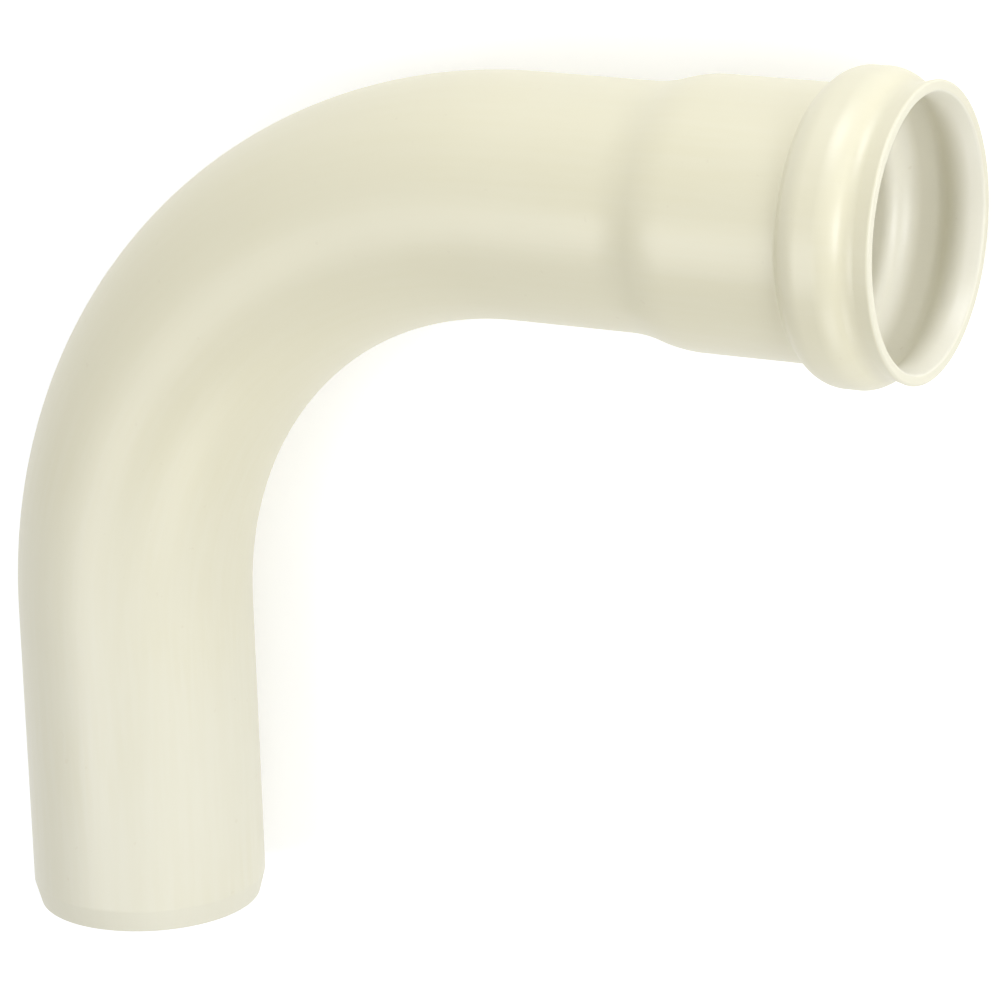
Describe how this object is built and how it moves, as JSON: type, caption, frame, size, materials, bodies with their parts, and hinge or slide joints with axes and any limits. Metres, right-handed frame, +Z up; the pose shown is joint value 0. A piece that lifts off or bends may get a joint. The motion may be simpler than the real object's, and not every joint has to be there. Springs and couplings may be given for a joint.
{
  "type": "long radius pipe bend",
  "caption": "Right-angle long radius pipe bend, hot formed as a whole from plain pipe, with a chamfered plain end and a ring-seal socket.",
  "frame": {"origin": "on the floor under the middle of the bend's bounding box, with the bend lying as it comes to rest", "axes": "+X is the way the socket opens and -Y the way the plain end points, both apart from the lean of under 3 degrees that the bend rests at; +Z is up"},
  "size_m": [0.4641, 0.4303, 0.139],
  "materials": {
    "pipe": "cream rigid plastic, smooth with a soft gloss"
  },
  "bodies": {
    "root": {"bend": "pipe"}
  },
  "joints": []
}
